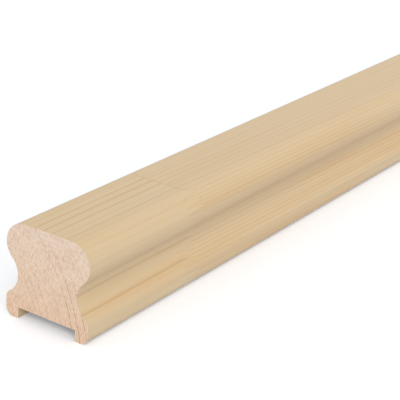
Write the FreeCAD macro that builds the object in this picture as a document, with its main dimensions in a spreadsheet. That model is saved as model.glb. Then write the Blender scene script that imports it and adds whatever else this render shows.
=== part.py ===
# Finger-jointed softwood stair handrail, one length as sold.
# Short staves of pine are glued end to end with finger joints, then moulded to one section:
# a flat-topped head, a cove on each side for the fingers of a hand, and a foot with a groove
# under it that takes the tops of the spindles and the fillets between them.
# The rail lies along X, centred on the origin, with the lips of the groove on Z = 0.
import FreeCAD
import Part
import Sketcher

import itertools
import math
import os

# Driving sizes in millimetres: name, value, what it measures.
SIZES = (
    ("rail_length", 2400, "overall length"),
    ("rail_width", 59, "across the head, and across the foot"),
    ("rail_height", 59, "from the lips of the groove to the flat top"),
    ("head_radius", 13, "round of the head, from the top to the cove"),
    ("cove_radius", 13, "hollow under the head"),
    ("waist_width", 42, "across the two coves at their deepest"),
    ("bead_radius", 6, "round where the cove runs out into the foot"),
    ("foot_radius", 6, "outer lower edge of the foot"),
    ("groove_width", 41, "groove for the spindles"),
    ("groove_depth", 7, "groove, up from the lips"),
    ("arris_radius", 0.8, "eased edge at the mouth of the groove"),
    ("finger_length", 15, "length of the fingers of a joint"),
    ("finger_pitch", 3.8, "from one finger to the next"),
    ("finger_tip", 0.42, "width of a finger at its blunt tip"),
    ("tip_gap", 0.3, "room for glue past the tip of a finger"),
    ("finger_drop", 1, "middle of the top finger, below the flat top"),
    ("stave_1_length", 100.5, "near end of the rail to the middle of the first joint"),
    ("stave_2_length", 468, "middle of one joint to the middle of the next"),
    ("stave_3_length", 391, "middle of one joint to the middle of the next"),
    ("stave_4_length", 523, "middle of one joint to the middle of the next"),
    ("stave_5_length", 437, "middle of one joint to the middle of the next"),
    ("shortest_stave", 60, "the least that is left past the last joint"),
)
# Expressions on the sheet for the rounds of the section. The head, the cove and the bead touch one
# another, so their radii and their places across the rail set how far each lies below the last.
# The foot's edge is rounded as far as the flank over it and the lip beside it leave room.
HEAD_ACROSS = "(Sizes.rail_width / 2 - Sizes.head_radius)"
COVE_ACROSS = "(Sizes.waist_width / 2 + Sizes.cove_radius)"
BEAD_ACROSS = "(Sizes.rail_width / 2 - Sizes.bead_radius)"
HEAD_TO_COVE = f"sqrt((Sizes.head_radius + Sizes.cove_radius)^2 - ({COVE_ACROSS} - {HEAD_ACROSS})^2)"
COVE_TO_BEAD = f"sqrt((Sizes.cove_radius + Sizes.bead_radius)^2 - ({COVE_ACROSS} - {BEAD_ACROSS})^2)"
BEAD_HEIGHT = f"(Sizes.rail_height - Sizes.head_radius - {HEAD_TO_COVE} - {COVE_TO_BEAD})"
LIP_WIDTH = "(Sizes.rail_width - Sizes.groove_width) / 2"
FOOT_ROUND = (f"min(Sizes.foot_radius; {BEAD_HEIGHT} - Sizes.arris_radius;"
              f" {LIP_WIDTH} - 2 * Sizes.arris_radius)")
# The sides are named as seen along the rail from its near end.
SIDES = (("left", 1), ("right", -1))
# A sketch counts the points of a line or an arc from 1, and its own axes down from -1.
# Its origin is the start of its X axis.
START, END, CENTRE = range(1, 4)
X_AXIS, Y_AXIS = range(-1, -3, -1)


def make_sheet(doc):
    """The spreadsheet that holds the driving sizes."""
    sheet = doc.addObject("Spreadsheet::Sheet", "Sizes")
    for row, (alias, value, note) in enumerate(SIZES, start=1):
        sheet.set(f"A{row}", note)
        sheet.set(f"B{row}", str(value))
        sheet.setAlias(f"B{row}", alias)
    doc.recompute()
    return sheet


def new_sketch(body, name, role):
    """A sketch on one of the body's own origin planes."""
    plane = next(f for f in body.Origin.OriginFeatures if f.Role == role)
    sketch = body.newObject("Sketcher::SketchObject", name)
    sketch.AttachmentSupport = [(plane, "")]
    sketch.MapMode = "FlatFace"
    return sketch


def set_size(sketch, name, expression, kind, *where):
    """Adds a dimension to a sketch and binds it to the sheet."""
    value = float(sketch.evalExpression(expression))
    index = sketch.addConstraint(Sketcher.Constraint(kind, *where, value))
    sketch.renameConstraint(index, name)
    sketch.setExpression(f"Constraints.{name}", expression)


def section_points(sheet):
    """Centres and end points of one half of the section, as (distance from the middle, height)."""
    half_width = sheet.rail_width / 2
    half_groove = sheet.groove_width / 2
    head_across, cove_across, bead_across, head_to_cove, bead_height, foot_round = [
        float(sheet.evalExpression(expression)) for expression in
        (HEAD_ACROSS, COVE_ACROSS, BEAD_ACROSS, HEAD_TO_COVE, BEAD_HEIGHT, FOOT_ROUND)]
    head = FreeCAD.Vector(head_across, sheet.rail_height - sheet.head_radius, 0)
    cove = FreeCAD.Vector(cove_across, head.y - head_to_cove, 0)
    bead = FreeCAD.Vector(bead_across, bead_height, 0)
    foot = FreeCAD.Vector(half_width - foot_round, foot_round, 0)
    arris = FreeCAD.Vector(half_groove + sheet.arris_radius, sheet.arris_radius, 0)
    return {
        "head": head,
        "cove": cove,
        "bead": bead,
        "foot": foot,
        "arris": arris,
        "top_edge": FreeCAD.Vector(head.x, sheet.rail_height, 0),
        "head_end": head + (cove - head).normalize() * sheet.head_radius,
        "cove_end": bead + (cove - bead).normalize() * sheet.bead_radius,
        "flank_top": FreeCAD.Vector(half_width, bead.y, 0),
        "flank_end": FreeCAD.Vector(half_width, foot.y, 0),
        "lip_outer": FreeCAD.Vector(foot.x, 0, 0),
        "lip_inner": FreeCAD.Vector(arris.x, 0, 0),
        "mouth": FreeCAD.Vector(half_groove, arris.y, 0),
        "ceiling": FreeCAD.Vector(half_groove, sheet.groove_depth, 0),
    }


def add_line(sketch, before, after):
    """Returns the line with the points of it that lie at before and after."""
    return sketch.addGeometry(Part.LineSegment(before, after)), START, END


def add_arc(sketch, centre, before, after, clockwise):
    """Returns the arc with the points of it that lie at before and after."""
    first, last = (after, before) if clockwise else (before, after)
    angles = [math.atan2(p.y - centre.y, p.x - centre.x) for p in (first, last)]
    circle = Part.Circle(centre, FreeCAD.Vector(0, 0, 1), (first - centre).Length)
    arc = sketch.addGeometry(Part.ArcOfCircle(circle, *angles))
    return (arc, END, START) if clockwise else (arc, START, END)


def draw_section(body, sheet):
    """The moulded section, drawn across the rail."""
    sketch = new_sketch(body, "section", "YZ_Plane")
    points = section_points(sheet)

    def across(name):
        """A straight run from the right side to the left, at the height of a named point."""
        return add_line(sketch, FreeCAD.Vector(-points[name].x, points[name].y, 0), points[name])[0]

    top = across("top_edge")
    ceiling = across("ceiling")
    for run in (top, ceiling):
        sketch.addConstraint(Sketcher.Constraint("Horizontal", run))
    for side, sign in SIDES:
        draw_side(sketch, side, sign, points, top, ceiling)
    set_size(sketch, "height", "Sizes.rail_height", "DistanceY", X_AXIS, START, top, START)
    set_size(sketch, "groove_depth", "Sizes.groove_depth", "DistanceY", X_AXIS, START, ceiling, START)
    return sketch


def draw_side(sketch, side, sign, points, top, ceiling):
    """One side of the section, from the flat top round to the ceiling of the groove."""
    at = {name: FreeCAD.Vector(sign * p.x, p.y, 0) for name, p in points.items()}
    outward = sign > 0    # on the left side of the rail the outline runs clockwise round its rounds
    head = add_arc(sketch, at["head"], at["top_edge"], at["head_end"], outward)
    cove = add_arc(sketch, at["cove"], at["head_end"], at["cove_end"], not outward)
    bead = add_arc(sketch, at["bead"], at["cove_end"], at["flank_top"], outward)
    flank = add_line(sketch, at["flank_top"], at["flank_end"])
    foot = add_arc(sketch, at["foot"], at["flank_end"], at["lip_outer"], outward)
    lip = add_line(sketch, at["lip_outer"], at["lip_inner"])
    arris = add_arc(sketch, at["arris"], at["lip_inner"], at["mouth"], outward)
    wall = add_line(sketch, at["mouth"], at["ceiling"])

    end_here = END if outward else START
    chain = [(top, None, end_here), head, cove, bead, flank, foot, lip, arris, wall]
    for (this, _, leaves), (following, arrives, _) in zip(chain, chain[1:]):
        sketch.addConstraint(Sketcher.Constraint("Tangent", this, leaves, following, arrives))
    sketch.addConstraint(Sketcher.Constraint("Coincident", wall[0], END, ceiling, end_here))
    sketch.addConstraint(Sketcher.Constraint("Vertical", flank[0]))
    sketch.addConstraint(Sketcher.Constraint("Vertical", wall[0]))
    sketch.addConstraint(Sketcher.Constraint("Horizontal", lip[0]))
    sketch.addConstraint(Sketcher.Constraint("PointOnObject", lip[0], START, X_AXIS))

    rounds = (
        ("head_radius", head, "Sizes.head_radius"),
        ("cove_radius", cove, "Sizes.cove_radius"),
        ("bead_radius", bead, "Sizes.bead_radius"),
        ("foot_radius", foot, FOOT_ROUND),
        ("arris_radius", arris, "Sizes.arris_radius"),
    )
    for name, arc, expression in rounds:
        set_size(sketch, f"{name}_{side}", expression, "Radius", arc[0])
    offsets = (
        ("head_centre", (head[0], CENTRE), HEAD_ACROSS),
        ("cove_centre", (cove[0], CENTRE), COVE_ACROSS),
        ("half_width", (flank[0], START), "Sizes.rail_width / 2"),
        ("half_groove", (wall[0], START), "Sizes.groove_width / 2"),
    )
    middle = (X_AXIS, START)
    for name, point, expression in offsets:
        ends = (*middle, *point) if outward else (*point, *middle)
        set_size(sketch, f"{name}_{side}", expression, "DistanceX", *ends)


def cut_fingers(body, name, mouth, inward, height):
    """Cuts the row of tapered slots between the fingers at one end of a stave.
    mouth is where along the stave the slots open, inward the way they run from there (1 or -1),
    and height the middle of the top slot; mouth and height are expressions on the sheet."""
    slot = new_sketch(body, f"{name}_slot", "XZ_Plane")
    slot.setExpression("AttachmentOffset.Base.x", mouth)
    slot.setExpression("AttachmentOffset.Base.y", height)
    depth = "Sizes.finger_length + Sizes.tip_gap"
    open_width = "Sizes.finger_pitch - Sizes.finger_tip"
    root_width = ("Sizes.finger_tip - (Sizes.finger_pitch - 2 * Sizes.finger_tip)"
                  " * Sizes.tip_gap / Sizes.finger_length")
    x_root = inward * float(body.evalExpression(depth))
    z_open = float(body.evalExpression(open_width)) / 2
    z_root = float(body.evalExpression(root_width)) / 2
    corners = [FreeCAD.Vector(*p, 0) for p in
               ((0, -z_open), (0, z_open), (x_root, z_root), (x_root, -z_root))]
    edges = [add_line(slot, a, b)[0] for a, b in zip(corners, corners[1:] + corners[:1])]
    for edge, following in zip(edges, edges[1:] + edges[:1]):
        slot.addConstraint(Sketcher.Constraint("Coincident", edge, END, following, START))
    opening, _, root, _ = edges
    for edge in (opening, root):
        slot.addConstraint(Sketcher.Constraint("Symmetric", edge, START, edge, END, X_AXIS))
    slot.addConstraint(Sketcher.Constraint("PointOnObject", opening, START, Y_AXIS))
    ends = (X_AXIS, START, root, START) if inward > 0 else (root, START, X_AXIS, START)
    set_size(slot, "depth", depth, "DistanceX", *ends)
    set_size(slot, "open_width", open_width, "DistanceY", opening, START, opening, END)
    set_size(slot, "root_width", root_width, "DistanceY", root, END, root, START)

    cut = body.newObject("PartDesign::Pocket", f"{name}_cut")
    cut.Profile = slot
    cut.SideType = "Symmetric"
    cut.Type = "ThroughAll"
    body.Document.recompute()
    row = body.newObject("PartDesign::LinearPattern", f"{name}_fingers")
    row.Originals = [cut]
    row.Direction = (slot, ["V_Axis"])
    row.Reversed = True
    row.Mode = "Spacing"
    row.setExpression("Offset", "Sizes.finger_pitch")
    row.setExpression("Occurrences", f"ceil(({height} + ({open_width}) / 2) / Sizes.finger_pitch)")
    body.Tip = row


def joint_places(sheet):
    """Where the joints come, from the near end of the rail, as sums of stave lengths on the sheet.
    The blank is longer than the rail and is cut off to length, so its stave lengths come round again."""
    near_length, *full_lengths = [alias for alias, _, _ in SIZES if alias.startswith("stave_")]
    joints = []
    place, used = 0, []
    for name in itertools.chain([near_length], itertools.cycle(full_lengths)):
        place += getattr(sheet, name)
        used.append(f"Sizes.{name}")
        if place > sheet.rail_length - sheet.shortest_stave:
            return joints
        joints.append(" + ".join(used))


def make_stave(doc, sheet, label, start, end):
    """One stave of the rail, between two joints, or between a joint and a sawn end, which is None."""
    body = doc.addObject("PartDesign::Body", label)
    body.Label = label
    half_finger = "Sizes.finger_length / 2"
    tips_at_start = f"{start} - {half_finger}" if start else "0"
    tips_at_end = f"{end} + {half_finger}" if end else "Sizes.rail_length"
    length = f"({tips_at_end}) - ({tips_at_start})"
    body.setExpression("Placement.Base.x", f"{tips_at_start} - Sizes.rail_length / 2")

    run = body.newObject("PartDesign::Pad", "moulded_run")
    run.Profile = draw_section(body, sheet)
    run.setExpression("Length", length)
    body.Tip = run
    doc.recompute()
    top_finger = "Sizes.rail_height - Sizes.finger_drop"
    if end:
        cut_fingers(body, "end", length, -1, f"{top_finger} + Sizes.finger_pitch / 2")
    if start:
        cut_fingers(body, "start", "0", 1, top_finger)
    doc.recompute()
    return body


def check(doc, staves):
    """Stops with a message if anything in the document failed."""
    for item in doc.Objects:
        if "Invalid" in item.State or "Error" in item.State:
            raise RuntimeError(f"{item.Name} of {item.Label} failed: {item.State}")
    for stave in staves:
        shape = stave.Shape
        if shape.isNull() or not shape.isValid() or len(shape.Solids) != 1:
            raise RuntimeError(f"{stave.Label} is not one valid solid")
        print(stave.Label, "volume", round(shape.Volume), "faces", len(shape.Faces),
              "x", round(shape.BoundBox.XMin, 2), round(shape.BoundBox.XMax, 2))


doc = FreeCAD.newDocument("handrail")
sheet = make_sheet(doc)
joints = joint_places(sheet)
staves = [make_stave(doc, sheet, f"stave_{number}", start, end)
          for number, (start, end) in enumerate(zip([None] + joints, joints + [None]), start=1)]
check(doc, staves)
os.makedirs("parts", exist_ok=True)
for stave in staves:
    stave.Shape.exportStep(f"parts/{stave.Label}.step")
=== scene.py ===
"""A length of moulded pine stair handrail, glued up from finger-jointed staves and sawn square."""

import math

import bpy
from mathutils import Matrix, Vector


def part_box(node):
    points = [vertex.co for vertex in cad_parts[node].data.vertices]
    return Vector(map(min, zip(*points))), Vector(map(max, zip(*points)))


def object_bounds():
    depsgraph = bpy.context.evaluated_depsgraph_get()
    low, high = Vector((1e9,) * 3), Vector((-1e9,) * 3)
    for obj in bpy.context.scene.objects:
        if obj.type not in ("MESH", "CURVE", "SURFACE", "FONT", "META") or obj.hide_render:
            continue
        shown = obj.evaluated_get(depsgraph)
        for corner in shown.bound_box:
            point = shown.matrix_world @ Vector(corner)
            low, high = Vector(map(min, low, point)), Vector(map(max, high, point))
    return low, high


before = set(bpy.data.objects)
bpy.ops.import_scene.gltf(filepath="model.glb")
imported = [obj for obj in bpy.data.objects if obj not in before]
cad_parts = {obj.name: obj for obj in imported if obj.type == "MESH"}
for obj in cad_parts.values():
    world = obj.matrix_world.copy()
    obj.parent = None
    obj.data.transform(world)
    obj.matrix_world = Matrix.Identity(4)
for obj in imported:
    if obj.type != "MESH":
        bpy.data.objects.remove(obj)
cad_low, cad_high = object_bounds()

# Staves
# Lengths of clear pine with fingers cut in their ends, glued end to end into one blank, which a moulder
# then planed to the section. Each stave comes from another tree, so it has its own growth rings,
# slope of grain and tint.
MM = 0.001
FINGER_PITCH = 3.8 * MM
FINGER_TIP = 0.42 * MM
FINGER_DROP = 1.0 * MM      # from the flat top to the middle of the top finger
GLUE_FILM = 0.12 * MM
# For each stave: the pith of its tree, as (y, z) in mm where the stave starts, and how far the pith
# drifts for each mm along the rail; the radius of one ring's border and the width of a year's growth, in
# mm; how strongly the rings show, from 0 to 1; the seeds of its good and lean years and of its warm
# streaks; and the colours of earlywood and latewood.
STAVES = {
    "stave_1": {
        "pith": (97.3, -21.2), "drift": (0.0, 0.0), "border": 119.8, "ring": 4.2, "strength": 0.85,
        "year_seed": 1485646, "streak_seed": 44.5, "early": "#d6c09a", "late": "#d3ab78"},
    "stave_2": {
        "pith": (-109.9, -89.9), "drift": (-0.008, -0.0122), "border": 0.0, "ring": 2.5, "strength": 0.5,
        "year_seed": 20, "streak_seed": 28.0, "early": "#d6be97", "late": "#cfa876"},
    "stave_3": {
        "pith": (60.0, 190.0), "drift": (0.006, -0.004), "border": 0.0, "ring": 2.6, "strength": 0.8,
        "year_seed": 30, "streak_seed": 3.0, "early": "#d4be99", "late": "#cba675"},
    "stave_4": {
        "pith": (-150.0, -30.0), "drift": (0.004, 0.010), "border": 0.0, "ring": 3.3, "strength": 0.7,
        "year_seed": 40, "streak_seed": 4.0, "early": "#d7c29f", "late": "#d0ad7d"},
    "stave_5": {
        "pith": (30.0, -120.0), "drift": (-0.010, 0.005), "border": 0.0, "ring": 1.9, "strength": 0.9,
        "year_seed": 50, "streak_seed": 5.0, "early": "#d2ba95", "late": "#cca576"},
    "stave_6": {
        "pith": (140.0, 80.0), "drift": (0.007, 0.008), "border": 0.0, "ring": 2.9, "strength": 0.8,
        "year_seed": 60, "streak_seed": 6.0, "early": "#d6c09c", "late": "#cfa978"},
}


def linear(colour):
    """Linear RGBA of an sRGB hex colour."""
    parts = [int(colour[i:i + 2], 16) / 255 for i in (1, 3, 5)]
    return [c / 12.92 if c <= 0.04045 else ((c + 0.055) / 1.055) ** 2.4 for c in parts] + [1.0]


def add(tree, kind, inputs=None, **settings):
    """Adds a node with its settings and links. An input is named, or counted among those in use; it
    takes a value, an output, or a node, which stands for its first output in use."""
    node = tree.nodes.new(kind)
    for name, value in settings.items():
        setattr(node, name, value)
    for name, source in (inputs or {}).items():
        in_use = [socket for socket in node.inputs if socket.enabled]
        target = in_use[name] if isinstance(name, int) else next(s for s in in_use if s.name == name)
        if isinstance(source, bpy.types.Node):
            source = next(socket for socket in source.outputs if socket.enabled)
        if isinstance(source, bpy.types.NodeSocket):
            tree.links.new(source, target)
        else:
            target.default_value = source
    return node


def new_material(name):
    """A material with an empty node tree."""
    material = bpy.data.materials.new(name)
    material.use_nodes = True
    material.node_tree.nodes.clear()
    return material


def growth_rings(tree, grain, radius, own):
    """How far a point of a stave is into its year's latewood, and into the grey-brown line that ends the
    year. The rings wander a little. Good and lean years come in runs, which sets the rings up to an
    eighth of a year out of an even spacing."""
    wander = 0.4                   # mm
    wander_size = (120, 30, 30)    # mm along the pith and across it
    run_length = 5.24              # years
    run_start = -1.63              # radians
    run_sway = 0.12                # years
    faintest = 0.15                # of how strongly the best year shows
    bend = add(tree, "ShaderNodeVectorMath", {0: grain, 1: wander_size}, operation="DIVIDE")
    bend = add(tree, "ShaderNodeTexNoise", {"Vector": bend, "Scale": 1, "Detail": 2})
    bend = add(tree, "ShaderNodeMapRange", {
        "Value": bend, "From Min": 0.2, "From Max": 0.8,
        "To Min": -wander - own["border"], "To Max": wander - own["border"]})
    even = add(tree, "ShaderNodeMath", {0: radius, 1: bend}, operation="ADD")
    even = add(tree, "ShaderNodeMath", {0: even, 1: own["ring"]}, operation="DIVIDE")
    run = add(tree, "ShaderNodeMath", {
        0: even, 1: math.tau / run_length, 2: run_start}, operation="MULTIPLY_ADD")
    run = add(tree, "ShaderNodeMath", {0: run}, operation="SINE")
    years = add(tree, "ShaderNodeMath", {0: run, 1: -run_sway, 2: even}, operation="MULTIPLY_ADD")
    season = add(tree, "ShaderNodeMath", {0: years}, operation="FRACT")
    year = add(tree, "ShaderNodeMath", {0: years}, operation="FLOOR")
    year = add(tree, "ShaderNodeMath", {0: year, 1: own["year_seed"]}, operation="ADD")
    vigour = add(tree, "ShaderNodeTexWhiteNoise", {"W": year}, noise_dimensions="1D")
    vigour = add(tree, "ShaderNodeMapRange", {
        "Value": vigour, "To Min": faintest * own["strength"], "To Max": own["strength"]})
    winter = add(tree, "ShaderNodeMapRange", {
        "Value": season, "From Min": 0.95, "From Max": 1, "To Min": 1, "To Max": 0},
        interpolation_type="SMOOTHSTEP")
    vigour = add(tree, "ShaderNodeMath", {0: vigour, 1: winter}, operation="MULTIPLY")
    summer = add(tree, "ShaderNodeMapRange", {
        "Value": season, "From Min": 0.65, "From Max": 0.97}, interpolation_type="SMOOTHSTEP")
    summer = add(tree, "ShaderNodeMath", {0: summer, 1: vigour}, operation="MULTIPLY")
    autumn = add(tree, "ShaderNodeMapRange", {
        "Value": season, "From Min": 0.78, "From Max": 0.92, "To Max": 0.36},
        interpolation_type="SMOOTHSTEP")
    autumn = add(tree, "ShaderNodeMath", {0: autumn, 1: vigour}, operation="MULTIPLY")
    return summer, autumn


def planed_side(tree, grain, summer, autumn, own):
    """The colour of a stave's planed sides and the fibres in them. Fibres are hundredths of a millimetre
    wide, too fine to show, so they are drawn as bundles. Broad streaks of the wood are warmer than the
    rest."""
    bundle_size = (50, 0.6, 0.6)    # mm along the pith and across it
    streak_size = (260, 12, 12)
    fibres = add(tree, "ShaderNodeVectorMath", {0: grain, 1: bundle_size}, operation="DIVIDE")
    fibres = add(tree, "ShaderNodeTexNoise", {"Vector": fibres, "Scale": 1, "Detail": 3})
    tone = add(tree, "ShaderNodeMapRange", {
        "Value": fibres, "From Min": 0.3, "From Max": 0.7, "To Min": -0.12, "To Max": 0.12}, clamp=False)
    streak = add(tree, "ShaderNodeVectorMath", {0: grain, 1: streak_size}, operation="DIVIDE")
    streak = add(tree, "ShaderNodeVectorMath", {
        0: streak, 1: (own["streak_seed"], 0, 0)}, operation="ADD")
    streak = add(tree, "ShaderNodeTexNoise", {"Vector": streak, "Scale": 1, "Detail": 1})
    streak = add(tree, "ShaderNodeMapRange", {
        "Value": streak, "From Min": 0.45, "From Max": 0.75, "To Max": 0.4})
    tone = add(tree, "ShaderNodeMath", {0: streak, 1: tone}, operation="ADD")
    tone = add(tree, "ShaderNodeMath", {0: summer, 1: tone}, operation="ADD", use_clamp=True)
    wood = add(tree, "ShaderNodeMix", {
        "Factor": tone, "A": linear(own["early"]), "B": linear(own["late"])}, data_type="RGBA")
    wood = add(tree, "ShaderNodeMix", {
        "Factor": autumn, "A": wood, "B": linear("#998a6b")}, data_type="RGBA")
    return wood, fibres


def sawn_end(tree, grain, radius, height, autumn):
    """The colour of a sawn end and the flecks of torn fibre on it, pale or brown. The brown ones gather
    in patches, and along the rings' borders towards the bottom, where the saw came out. The end's ground
    colour is also darker and pinker towards the bottom, which is painted shade for the less light there."""
    fleck_size = (0.75, 1.4, 1)    # mm across the rings and along them
    patch_size = (9, 9, 9)         # mm
    sides = add(tree, "ShaderNodeSeparateXYZ", {0: grain})
    angle = add(tree, "ShaderNodeMath", {
        0: sides.outputs["Z"], 1: sides.outputs["Y"]}, operation="ARCTAN2")
    arc = add(tree, "ShaderNodeMath", {0: angle, 1: radius}, operation="MULTIPLY")
    flecks = add(tree, "ShaderNodeCombineXYZ", {"X": radius, "Y": arc})
    flecks = add(tree, "ShaderNodeVectorMath", {0: flecks, 1: fleck_size}, operation="DIVIDE")
    flecks = add(tree, "ShaderNodeTexNoise", {
        "Vector": flecks, "Scale": 1, "Detail": 2, "Roughness": 0.7})
    patch = add(tree, "ShaderNodeVectorMath", {0: grain, 1: patch_size}, operation="DIVIDE")
    patch = add(tree, "ShaderNodeTexNoise", {"Vector": patch, "Scale": 1, "Detail": 1})
    patch = add(tree, "ShaderNodeMapRange", {
        "Value": patch, "From Min": 0.35, "From Max": 0.65, "To Min": -0.03, "To Max": 0.03})
    torn = add(tree, "ShaderNodeMath", {0: flecks, 1: patch}, operation="ADD")
    lines = add(tree, "ShaderNodeMapRange", {"Value": height, "To Min": 1.05, "To Max": 0.25})
    torn = add(tree, "ShaderNodeMath", {0: autumn, 1: lines, 2: torn}, operation="MULTIPLY_ADD")
    brown = add(tree, "ShaderNodeMapRange", {"Value": torn, "From Min": 0.48, "From Max": 0.8})
    pale = add(tree, "ShaderNodeMapRange", {
        "Value": torn, "From Min": 0.3, "From Max": 0.45, "To Min": 0.6, "To Max": 0})
    # Painted shade: the end's ground colour darkens and turns pinker from the top down to the bottom.
    wood = add(tree, "ShaderNodeMix", {
        "Factor": height, "A": linear("#f0ceaf"), "B": linear("#f1dac2")}, data_type="RGBA")
    wood = add(tree, "ShaderNodeMix", {
        "Factor": pale, "A": wood, "B": linear("#f8e8da")}, data_type="RGBA")
    wood = add(tree, "ShaderNodeMix", {
        "Factor": brown, "A": wood, "B": linear("#b8926f")}, data_type="RGBA")
    return wood, flecks


def glue_lines(tree, axes, wood, joints):
    """The wood with glue in its joints, where the height across a finger meets its sloping flank."""
    across = add(tree, "ShaderNodeMath", {
        0: axes.outputs["Z"], 1: cad_high.z - FINGER_DROP}, operation="SUBTRACT")
    across = add(tree, "ShaderNodeMath", {0: across, 1: FINGER_PITCH / 2}, operation="PINGPONG")
    for first_tip, last_tip in joints:
        flank = add(tree, "ShaderNodeMapRange", {
            "Value": axes.outputs["X"], "From Min": first_tip, "From Max": last_tip,
            "To Min": (FINGER_PITCH - FINGER_TIP) / 2, "To Max": FINGER_TIP / 2})
        glue = add(tree, "ShaderNodeMath", {0: across, 1: flank}, operation="SUBTRACT")
        glue = add(tree, "ShaderNodeMath", {0: glue}, operation="ABSOLUTE")
        glue = add(tree, "ShaderNodeMapRange", {
            "Value": glue, "From Max": GLUE_FILM, "To Min": 0.25, "To Max": 0})
        within = add(tree, "ShaderNodeMath", {
            0: axes.outputs["X"], 1: (first_tip + last_tip) / 2, 2: (last_tip - first_tip) / 2},
            operation="COMPARE")
        glue = add(tree, "ShaderNodeMath", {0: glue, 1: within}, operation="MULTIPLY")
        wood = add(tree, "ShaderNodeMix", {
            "Factor": glue, "A": wood, "B": linear("#a58b60")}, data_type="RGBA")
    return wood


def planed_pine(stave, joints):
    """Planed pine, unfinished: pale earlywood that warms to orange latewood and ends in a thin grey-brown
    line at each ring's border, so that every side shows what its cut through the rings gives, with long
    fine fibres and a low sheen. The sawn ends are pinker and matt, with short flecks of torn fibre along
    the rings, and the finger joints show as thin dark lines of glue."""
    own = STAVES[stave]
    material = new_material(f"planed_pine_{stave}")
    tree = material.node_tree
    place = add(tree, "ShaderNodeTexCoord")
    axes = add(tree, "ShaderNodeSeparateXYZ", {0: place.outputs["Object"]})
    height = add(tree, "ShaderNodeMapRange", {"Value": axes.outputs["Z"], "From Max": cad_high.z})

    # The tree's own coordinates in mm, with x along the pith.
    pith_y, pith_z = own["pith"]
    drift_y, drift_z = own["drift"]
    grain = add(tree, "ShaderNodeMapping", {
        "Vector": place.outputs["Object"],
        "Location": (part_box(stave)[0].x, pith_y * MM, pith_z * MM),
        "Rotation": (0, -math.atan(drift_z), math.atan(drift_y)),
        "Scale": (MM, MM, MM)}, vector_type="TEXTURE")
    radius = add(tree, "ShaderNodeVectorMath", {0: grain, 1: (0, 1, 1)}, operation="MULTIPLY")
    radius = add(tree, "ShaderNodeVectorMath", {0: radius}, operation="LENGTH")
    summer, autumn = growth_rings(tree, grain, radius, own)
    side, fibres = planed_side(tree, grain, summer, autumn, own)
    end, flecks = sawn_end(tree, grain, radius, height, autumn)

    # A face that looks along the rail is a sawn one. On a planed one the latewood stands a little proud.
    sawn_from = 0.7
    ridge = 0.6
    sawn = add(tree, "ShaderNodeSeparateXYZ", {0: place.outputs["Normal"]})
    sawn = add(tree, "ShaderNodeMath", {0: sawn}, operation="ABSOLUTE")
    sawn = add(tree, "ShaderNodeMath", {0: sawn, 1: sawn_from}, operation="GREATER_THAN")
    wood = add(tree, "ShaderNodeMix", {"Factor": sawn, "A": side, "B": end}, data_type="RGBA")
    wood = glue_lines(tree, axes, wood, joints)
    roughness = add(tree, "ShaderNodeMapRange", {"Value": sawn, "To Min": 0.5, "To Max": 0.9})
    planed = add(tree, "ShaderNodeMath", {0: autumn, 1: ridge, 2: fibres}, operation="MULTIPLY_ADD")
    relief = add(tree, "ShaderNodeMix", {"Factor": sawn, "A": planed, "B": flecks}, data_type="FLOAT")
    relief = add(tree, "ShaderNodeBump", {"Height": relief, "Strength": 0.25, "Distance": 0.1 * MM})
    surface = add(tree, "ShaderNodeBsdfPrincipled", {
        "Base Color": wood, "Roughness": roughness, "IOR": 1.5, "Normal": relief})
    add(tree, "ShaderNodeOutputMaterial", {"Surface": surface})
    return material


spans = [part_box(stave) for stave in STAVES]
joints = [(after[0].x, before[1].x) for before, after in zip(spans, spans[1:])]
for number, stave in enumerate(STAVES):
    own_joints = joints[max(number - 1, 0):number + 1]
    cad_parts[stave].material_slots[0].material = planed_pine(stave, own_joints)

# Floor
# White paper that the rail lies on, swept far past it on every side. It shows white to the eye, takes
# the rail's shadow, and throws back light with the touch of blue that brightened paper has.
FLOOR_HALF = 8.0


def seen_rays(tree):
    """1 where a surface is seen, straight or through gloss or glass, and 0 where it only sends light."""
    path = add(tree, "ShaderNodeLightPath")
    seen = add(tree, "ShaderNodeMath", {
        0: path.outputs["Is Camera Ray"], 1: path.outputs["Is Glossy Ray"]}, operation="MAXIMUM")
    return add(tree, "ShaderNodeMath", {
        0: seen, 1: path.outputs["Is Transmission Ray"]}, operation="MAXIMUM")


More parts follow.
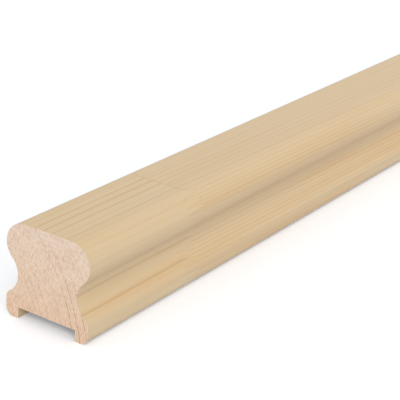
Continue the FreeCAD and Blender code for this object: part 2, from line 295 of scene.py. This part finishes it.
paper = new_material("white_paper")
tree = paper.node_tree
lit = add(tree, "ShaderNodeBsdfDiffuse", {"Color": linear("#ced7e6")})
bright = add(tree, "ShaderNodeBsdfDiffuse", {"Color": linear("#ffffff")})
glow = add(tree, "ShaderNodeEmission", {"Color": linear("#d0e4ff"), "Strength": 0.18})
bright = add(tree, "ShaderNodeAddShader", {0: bright, 1: glow})
surface = add(tree, "ShaderNodeMixShader", {0: seen_rays(tree), 1: lit, 2: bright})
add(tree, "ShaderNodeOutputMaterial", {"Surface": surface})
corners = [(x * FLOOR_HALF, y * FLOOR_HALF, 0) for x, y in ((-1, -1), (1, -1), (1, 1), (-1, 1))]
floor = bpy.data.objects.new("paper_floor", bpy.data.meshes.new("paper_floor"))
floor.data.from_pydata(corners, [], [range(len(corners))])
floor.data.materials.append(paper)
bpy.context.scene.collection.objects.link(floor)

# Light
# A white studio all round gives most of it, and two wide soft lamps the rest: a low one to the right of
# the rail and a high one in front of it.
world = bpy.data.worlds.new("studio")
world.use_nodes = True
tree = world.node_tree
tree.nodes.clear()
lit = add(tree, "ShaderNodeBackground", {"Color": linear("#fbfdff"), "Strength": 0.77})
bright = add(tree, "ShaderNodeBackground", {"Color": linear("#ffffff"), "Strength": 1})
room = add(tree, "ShaderNodeMixShader", {0: seen_rays(tree), 1: lit, 2: bright})
add(tree, "ShaderNodeOutputWorld", {"Surface": room})
bpy.context.scene.world = world
for name, level, direction in (
        ("low_lamp", 0.22, (-0.50, -0.80, 0.33)),
        ("high_lamp", 0.22, (-0.60, -0.36, 0.71))):
    lamp = bpy.data.objects.new(name, bpy.data.lights.new(name, "SUN"))
    lamp.data.energy = level * math.pi
    lamp.data.angle = math.radians(20)
    lamp.data.color = linear("#fff3e7")[:3]
    lamp.rotation_euler = Vector(direction).to_track_quat("Z", "Y").to_euler()
    bpy.context.scene.collection.objects.link(lamp)

# Camera
# Set by the photograph's perspective, from above the near end and to the right of the rail.
camera = bpy.data.objects.new("camera", bpy.data.cameras.new("camera"))
camera.data.lens = 121.31
heading, tilt, roll = (math.radians(angle) for angle in (-56.945, 22.577, 3.876))
eye = Vector((cad_low.x - 0.51004, -0.42783, 0.35895))
turn = Matrix.Rotation(heading, 4, "Z") @ Matrix.Rotation(math.pi / 2 - tilt, 4, "X")
camera.matrix_world = Matrix.Translation(eye) @ turn @ Matrix.Rotation(roll, 4, "Z")
bpy.context.scene.collection.objects.link(camera)
bpy.context.scene.camera = camera
bpy.context.scene.view_settings.view_transform = "Standard"
